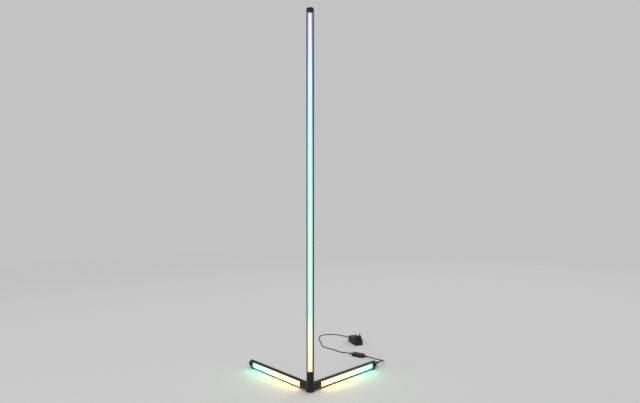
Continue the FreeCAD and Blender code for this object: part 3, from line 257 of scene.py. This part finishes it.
class Finish:
    """A material under construction: one Principled shader and what feeds it."""

    def __init__(self, name):
        self.material = bpy.data.materials.new(name)
        self.material.use_nodes = True
        self.tree = self.material.node_tree
        self.tree.nodes.clear()
        self.shader = self.node("ShaderNodeBsdfPrincipled", values={"Specular IOR Level": 0.35})
        self.end = self.node("ShaderNodeOutputMaterial",
                             values={"Surface": self.shader.outputs["BSDF"]})

    def node(self, kind, settings=None, values=None):
        """Any node: its type, then its settings, then the values or links of its sockets."""
        made = self.tree.nodes.new(kind)
        for name, value in (settings or {}).items():
            if name == "stops":
                self.set_stops(made.color_ramp, value)
            else:
                setattr(made, name, value)
        for name, value in (values or {}).items():
            self.feed(made.inputs[name], value)
        return made

    def set_stops(self, ramp, stops):
        """Colours of a ramp, as (place, colour) pairs."""
        while len(ramp.elements) < len(stops):
            ramp.elements.new(1.0)
        for element, (place, colour) in zip(ramp.elements, stops):
            element.position = place
            element.color = (*colour, 1.0)

    def feed(self, socket, value):
        """Set a socket to a number or colour, or link it to another socket."""
        if isinstance(value, Signal):
            value = value.socket
        if isinstance(value, bpy.types.NodeSocket):
            self.tree.links.new(value, socket)
        elif socket.type == "RGBA":
            socket.default_value = (*value, 1.0)
        else:
            socket.default_value = value

    def set(self, **values):
        """Feed the shader's sockets, named with underscores for spaces."""
        for name, value in values.items():
            self.feed(self.shader.inputs[name.replace("_", " ")], value)

    def place(self, turn=0.0):
        """Object coordinates, turned about Z by some degrees."""
        found = self.node("ShaderNodeTexCoord").outputs["Object"]
        if turn == 0.0:
            return found
        return self.node("ShaderNodeMapping", {"vector_type": "POINT"},
                         {"Vector": found, "Rotation": (0.0, 0.0, math.radians(turn))}
                         ).outputs["Vector"]

    def split(self, vector):
        """X, Y and Z of a vector."""
        made = self.node("ShaderNodeSeparateXYZ", values={"Vector": vector})
        return [Signal(self, made.outputs[axis]) for axis in "XYZ"]

    def stretched(self, vector, factors):
        """A vector, each of its parts multiplied."""
        return self.node("ShaderNodeVectorMath", {"operation": "MULTIPLY"},
                         {0: vector, 1: factors}).outputs[0]

    def noise(self, vector, scale, detail=2.0, roughness=0.5):
        """Smooth noise from 0 to 1."""
        made = self.node("ShaderNodeTexNoise", values={
            "Vector": vector, "Scale": scale, "Detail": detail, "Roughness": roughness})
        return Signal(self, made.outputs["Fac"])

    def blended(self, factor, first, second):
        """A colour between two others."""
        return self.node("ShaderNodeMix", {"data_type": "RGBA"},
                         {0: factor, 6: first, 7: second}).outputs[2]

    def dimmed(self, colour, factor):
        """A colour times a number."""
        return self.node("ShaderNodeVectorMath", {"operation": "SCALE"},
                         {0: colour, "Scale": factor}).outputs[0]

    def bump(self, height, distance, strength=1.0):
        """Fine relief on the surface."""
        made = self.node("ShaderNodeBump", values={
            "Strength": strength, "Distance": distance, "Height": height})
        self.set(Normal=made.outputs["Normal"])


def times(colour, factor):
    """A colour made lighter or darker."""
    return tuple(min(1.0, part * factor) for part in colour)


# ---- finishes -------------------------------------------------------------------------

def extruded_black(name, colour, turn, factors):
    """Black anodised aluminium, with the fine lines that the die leaves along it.

    turn brings the tube's direction onto an axis, and factors stretch the lines along it.
    """
    finish = Finish(name)
    place = finish.place(turn)
    lines = finish.noise(finish.stretched(place, factors), DIE_LINES, detail=3.0)
    cloud = finish.noise(place, HANDLING_CLOUD)
    finish.set(Base_Color=finish.blended(lines, times(colour, 0.75), times(colour, 1.45)),
               Metallic=0.35, Roughness=0.27 + 0.12 * lines + 0.06 * cloud)
    finish.bump(lines, DIE_LINE_DEPTH)
    return finish.material


def moulded(name, colour, grain, roughness):
    """Spark-textured moulded plastic; grain is in marks per metre."""
    finish = Finish(name)
    place = finish.place()
    marks = finish.noise(place, grain, detail=3.0, roughness=0.6)
    cloud = finish.noise(place, MOULD_CLOUD)
    finish.set(Base_Color=finish.blended(marks, times(colour, 0.8), times(colour, 1.3)),
               Roughness=roughness - 0.05 + 0.10 * marks + 0.06 * cloud)
    finish.bump(marks, MOULD_GRAIN_DEPTH)
    return finish.material


def lit_opal(finish, opal, along, aside, length, stops, strength, edge, sides, ends):
    """Glowing opal plastic: a white core, and rims that show the colour which runs along it.

    along and aside are distances on the surface, from the light's start and its middle line.
    sides are the shares of the half width between which the core fades, and ends the lengths
    over which it fades at its start and its end.
    """
    ramp = finish.node("ShaderNodeValToRGB", {"stops": stops}, {"Fac": along / length})
    across = 1 - (abs(aside) / LIGHT_HALF_WIDTH).smooth(*sides)
    lengthwise = along.smooth(0.0, ends[0]) * (length - along).smooth(0.0, ends[1])
    core = across * lengthwise
    colour = finish.blended(WHITE_CORE / strength * core, ramp.outputs["Color"], (1, 1, 1))
    finish.set(Base_Color=opal, Roughness=0.42, Emission_Strength=strength,
               Emission_Color=finish.dimmed(colour, (edge / strength) ** (1 - core)))
    return finish.material


def plain_metal(name, colour, roughness):
    """Plated or milled metal with fine marks."""
    finish = Finish(name)
    marks = finish.noise(finish.place(), METAL_MARKS)
    finish.set(Base_Color=finish.blended(marks, times(colour, 0.9), times(colour, 1.05)),
               Metallic=1.0, Roughness=roughness + 0.10 * marks)
    return finish.material


def sleeved_pin(name, colour, sleeve):
    """Nickel-plated pins whose roots have a black insulating sleeve."""
    finish = Finish(name)
    place = finish.place()
    bare = finish.split(place)[2].smooth(PIN_SLEEVE_TOP, PIN_SLEEVE_TOP + PIN_SLEEVE_EDGE)
    marks = finish.noise(place, PIN_MARKS)
    finish.set(Base_Color=finish.blended(bare, sleeve, colour), Metallic=bare,
               Roughness=0.42 - 0.24 * bare + 0.08 * marks)
    return finish.material


def soft_rubber(name, colour, roughness=0.75):
    """Matt rubber or silicone with a faint bloom."""
    finish = Finish(name)
    place = finish.place()
    bloom = finish.noise(place, RUBBER_BLOOM, detail=4.0)
    finish.set(Base_Color=finish.blended(bloom, times(colour, 0.85), times(colour, 1.35)),
               Roughness=roughness + 0.12 * bloom)
    finish.bump(finish.noise(place, RUBBER_GRAIN), RUBBER_GRAIN_DEPTH)
    return finish.material


def circuit_board(name, colour):
    """Solder mask with faint tracks."""
    finish = Finish(name)
    place = finish.place()
    across = finish.stretched(place, (1.0, TRACK_STRETCH, 1.0))
    tracks = finish.noise(across, BOARD_TRACKS).smooth(*TRACK_EDGE)
    finish.set(Base_Color=finish.blended(tracks, colour, times(colour, 1.6)), Roughness=0.4)
    return finish.material


def dark_window(name):
    """Polished dark red plastic in front of the receiver."""
    finish = Finish(name)
    cloud = finish.noise(finish.place(), WINDOW_CLOUD)
    finish.set(Base_Color=finish.blended(cloud, (0.020, 0.003, 0.005), (0.035, 0.005, 0.008)),
               Roughness=0.14 + 0.04 * cloud)
    return finish.material


def dress(material, *names):
    """Give CAD nodes their material."""
    for name in names:
        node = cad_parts[name]
        node.data.materials.clear()
        node.data.materials.append(material)


# ---- operators: one for each group of pieces, and one for the stage -------------------

class LAMP_OT_tubes(bpy.types.Operator):
    """Finish the extruded tubes, the couplers inside them and their screws"""
    bl_idname = "lamp.tubes"
    bl_label = "Tubes"

    def execute(self, context):
        finishes = context.scene.lamp_finishes
        dress(extruded_black("post_tube_finish", finishes.tube, 0.0,
                             (1.0, 1.0, DIE_LINE_STRETCH)),
              "post_section_1", "post_section_2", "post_section_3")
        for side, turn in (("right", -BAR_HEADING), ("left", BAR_HEADING)):
            dress(extruded_black(side + "_tube_finish", finishes.tube, turn,
                                 (DIE_LINE_STRETCH, 1.0, 1.0)), side + "_bar_tube")
        dress(plain_metal("coupler_finish", (0.72, 0.73, 0.74), roughness=0.35),
              "post_coupler_1", "post_coupler_2")
        dress(plain_metal("screw_finish", finishes.screw, roughness=0.38),
              "post_coupler_screws", "hub_arm_screws", "hub_cover_screws")
        return {"FINISHED"}


class LAMP_OT_lights(bpy.types.Operator):
    """Light the three opal diffusers and finish the LED strips behind them"""
    bl_idname = "lamp.lights"
    bl_label = "Lit diffusers"

    def execute(self, context):
        light = context.scene.lamp_light
        opal = context.scene.lamp_finishes.opal
        post_stops = [(0.02, light.amber), (0.08, light.lime), (0.17, light.green),
                      (0.42, light.green), (0.60, light.cyan), (0.78, light.blue),
                      (0.97, light.indigo)]
        finish = Finish("post_light_finish")
        x, _, z = finish.split(finish.place())
        dress(lit_opal(finish, opal, z - POST_LIGHT_LOW.z, x, POST_LIGHT_LENGTH, post_stops,
                       light.post, light.edge, POST_SIDE_FADE, POST_END_FADE),
              "post_diffuser")
        bar_stops = [(0.05, light.amber), (0.45, light.lime), (0.8, light.green)]
        for side, turn, sign in (("right", -BAR_HEADING, 1.0), ("left", BAR_HEADING, -1.0)):
            finish = Finish(side + "_light_finish")
            x, _, z = finish.split(finish.place(turn))
            dress(lit_opal(finish, opal, sign * x - BAR_LIGHT_NEAR, z - BAR_HEIGHT,
                           BAR_LIGHT_FAR - BAR_LIGHT_NEAR, bar_stops, light.bars, light.edge,
                           BAR_SIDE_FADE, BAR_END_FADE), side + "_bar_diffuser")
        dress(circuit_board("led_board_finish", (0.80, 0.80, 0.78)),
              "post_led_strip", "right_bar_led_strip", "left_bar_led_strip")
        return {"FINISHED"}


class LAMP_OT_hub(bpy.types.Operator):
    """Finish the corner hub, the end caps, the feet and what is inside the hub"""
    bl_idname = "lamp.hub"
    bl_label = "Hub, caps and feet"

    def execute(self, context):
        finishes = context.scene.lamp_finishes
        dress(moulded("hub_finish", finishes.plastic, HUB_GRAIN, roughness=0.48),
              "corner_hub", "hub_cover", "post_top_cap", "right_bar_end_cap",
              "left_bar_end_cap")
        dress(soft_rubber("foot_finish", finishes.rubber),
              "hub_foot", "right_bar_foot", "left_bar_foot")
        dress(circuit_board("board_finish", (0.03, 0.16, 0.07)),
              "junction_board", "controller_board", "adapter_board")
        dress(soft_rubber("wire_finish", (0.70, 0.70, 0.68), roughness=0.45),
              "right_ribbon", "left_ribbon", "post_ribbon", "feed_cable")
        return {"FINISHED"}


class LAMP_OT_supply(bpy.types.Operator):
    """Finish the inlet, plug, controller and adapter"""
    bl_idname = "lamp.supply"
    bl_label = "Plug, controller and adapter"

    def execute(self, context):
        finishes = context.scene.lamp_finishes
        dress(moulded("inlet_finish", finishes.plastic, INLET_GRAIN, roughness=0.35), "dc_jack")
        dress(soft_rubber("grip_finish", finishes.cord, roughness=0.52),
              "dc_plug_body", "controller_relief_out", "controller_relief_in", "adapter_relief")
        dress(moulded("housing_finish", finishes.housing, HOUSING_GRAIN, roughness=0.50),
              "controller_lower_shell", "controller_upper_shell",
              "adapter_front_shell", "adapter_rear_shell")
        dress(soft_rubber("button_finish", finishes.button, roughness=0.62),
              "controller_button_power", "controller_button_mode", "controller_button_speed")
        dress(dark_window("window_finish"), "controller_receiver_lens")
        dress(plain_metal("barrel_finish", (0.78, 0.76, 0.72), roughness=0.22),
              "dc_plug_barrel")
        dress(sleeved_pin("pin_finish", (0.76, 0.75, 0.72), finishes.housing), "adapter_pins")
        return {"FINISHED"}


def lay_cord(name, route, diameter, material):
    """A cord along a smooth line that the route's points steer."""
    curve = bpy.data.curves.new(name, "CURVE")
    curve.dimensions = "3D"
    curve.resolution_u = 14
    curve.bevel_depth = diameter / 2
    curve.bevel_resolution = 5
    curve.use_fill_caps = True
    spline = curve.splines.new("NURBS")
    spline.points.add(len(route) - 1)
    for point, place in zip(spline.points, route):
        point.co = (*place, 1.0)
    spline.order_u = 3
    spline.use_endpoint_u = True
    cord = bpy.data.objects.new(name, curve)
    bpy.context.scene.collection.objects.link(cord)
    curve.materials.append(material)
    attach(cord, "root")
    return cord


class LAMP_OT_cords(bpy.types.Operator):
    """Lay the output lead and the adapter lead on the floor"""
    bl_idname = "lamp.cords"
    bl_label = "Cords"

    def execute(self, context):
        cords = context.scene.lamp_cords
        cover = soft_rubber("cord_finish", context.scene.lamp_finishes.cord, roughness=0.45)
        output = lay_cord("output_cord", OUTPUT_ROUTE, cords.diameter, cover)
        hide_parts("output_lead")
        supply = lay_cord("adapter_cord", ADAPTER_ROUTE, cords.diameter, cover)
        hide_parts("adapter_lead")
        return {"FINISHED"}


# ---- stage ----------------------------------------------------------------------------

def floor_disc(lightness):
    """A round floor at level zero that fades into the background towards its rim."""
    mesh = bpy.data.meshes.new("studio_floor")
    shape = bmesh.new()
    bmesh.ops.create_circle(shape, cap_ends=True, radius=FLOOR_RADIUS, segments=96)
    shape.to_mesh(mesh)
    shape.free()
    floor = bpy.data.objects.new("studio_floor", mesh)
    bpy.context.scene.collection.objects.link(floor)
    finish = Finish("floor_finish")
    x, y, _ = finish.split(finish.place())
    gone = (x * x + y * y).smooth(FLOOR_FADE[0] ** 2, FLOOR_FADE[1] ** 2)
    finish.set(Base_Color=(lightness, lightness, lightness), Roughness=0.9)
    clear = finish.node("ShaderNodeBsdfTransparent")
    both = finish.node("ShaderNodeMixShader", values={
        0: gone, 1: finish.shader.outputs["BSDF"], 2: clear.outputs["BSDF"]})
    finish.feed(finish.end.inputs["Surface"], both.outputs["Shader"])
    mesh.materials.append(finish.material)


def light_world(backdrop, fill):
    """Pale surroundings as the camera and reflections see them, and a softer fill."""
    world = bpy.data.worlds.new("studio_world")
    bpy.context.scene.world = world
    world.use_nodes = True
    nodes, links = world.node_tree.nodes, world.node_tree.links
    nodes.clear()
    path = nodes.new("ShaderNodeLightPath")
    seen = path.outputs["Is Camera Ray"]
    for other in ("Is Glossy Ray", "Is Transmission Ray"):
        either = nodes.new("ShaderNodeMath")
        either.operation = "MAXIMUM"
        links.new(seen, either.inputs[0])
        links.new(path.outputs[other], either.inputs[1])
        seen = either.outputs[0]
    backgrounds = []
    for level in (fill, backdrop):
        background = nodes.new("ShaderNodeBackground")
        background.inputs["Color"].default_value = (level, level, level, 1.0)
        backgrounds.append(background.outputs[0])
    mix = nodes.new("ShaderNodeMixShader")
    links.new(seen, mix.inputs[0])
    links.new(backgrounds[0], mix.inputs[1])
    links.new(backgrounds[1], mix.inputs[2])
    output = nodes.new("ShaderNodeOutputWorld")
    links.new(mix.outputs[0], output.inputs["Surface"])


def soft_light(name, place, target, size, power):
    """A square area light that faces a point."""
    lamp = bpy.data.lights.new(name, "AREA")
    lamp.size = size
    lamp.energy = power
    holder = bpy.data.objects.new(name, lamp)
    holder.location = place
    holder.rotation_euler = (Vector(target) - Vector(place)).to_track_quat("-Z", "Y").to_euler()
    bpy.context.scene.collection.objects.link(holder)


class LAMP_OT_stage(bpy.types.Operator):
    """Set up the floor, the studio's light and the camera"""
    bl_idname = "lamp.stage"
    bl_label = "Studio"

    def execute(self, context):
        studio = context.scene.lamp_studio
        floor_disc(studio.floor)
        light_world(studio.backdrop, studio.fill)
        for name, (place, size, power) in SOFT_LIGHTS.items():
            soft_light(name, place, LIGHT_TARGET, size, power)
        lens = bpy.data.cameras.new("studio_camera")
        lens.sensor_width = 36.0
        lens.lens = studio.lens
        lens.clip_start = 0.05
        lens.clip_end = 100.0
        camera = bpy.data.objects.new("studio_camera", lens)
        camera.location = studio.position
        camera.rotation_euler = Euler((math.pi / 2 - studio.pitch, 0.0, studio.turn))
        context.scene.collection.objects.link(camera)
        context.scene.camera = camera
        context.scene.view_settings.view_transform = "Standard"
        return {"FINISHED"}


OPERATORS = (LAMP_OT_stage, LAMP_OT_cords, LAMP_OT_tubes, LAMP_OT_lights, LAMP_OT_hub,
             LAMP_OT_supply)
GROUPS = {"lamp_light": LampLight, "lamp_finishes": LampFinishes, "lamp_cords": LampCords,
          "lamp_studio": LampStudio}


class LAMP_PT_panel(bpy.types.Panel):
    """The lamp's settings and the buttons that build it"""
    bl_idname = "LAMP_PT_panel"
    bl_label = "Corner Lamp"
    bl_space_type = "VIEW_3D"
    bl_region_type = "UI"
    bl_category = "Corner Lamp"

    def draw(self, context):
        column = self.layout.column()
        for name, group in GROUPS.items():
            settings = getattr(context.scene, name)
            for setting in group.__annotations__:
                column.prop(settings, setting)
        for operator in OPERATORS:
            column.operator(operator.bl_idname)


def register():
    for group in GROUPS.values():
        bpy.utils.register_class(group)
    for name, group in GROUPS.items():
        setattr(bpy.types.Scene, name, PointerProperty(type=group))
    for operator in OPERATORS:
        bpy.utils.register_class(operator)
    bpy.utils.register_class(LAMP_PT_panel)


def unregister():
    bpy.utils.unregister_class(LAMP_PT_panel)
    for operator in reversed(OPERATORS):
        bpy.utils.unregister_class(operator)
    for name, group in GROUPS.items():
        delattr(bpy.types.Scene, name)
        bpy.utils.unregister_class(group)


def main():
    register()
    bpy.ops.lamp.stage()
    bpy.ops.lamp.cords()
    bpy.ops.lamp.tubes()
    bpy.ops.lamp.lights()
    bpy.ops.lamp.hub()
    bpy.ops.lamp.supply()


if __name__ == "__main__":
    main()
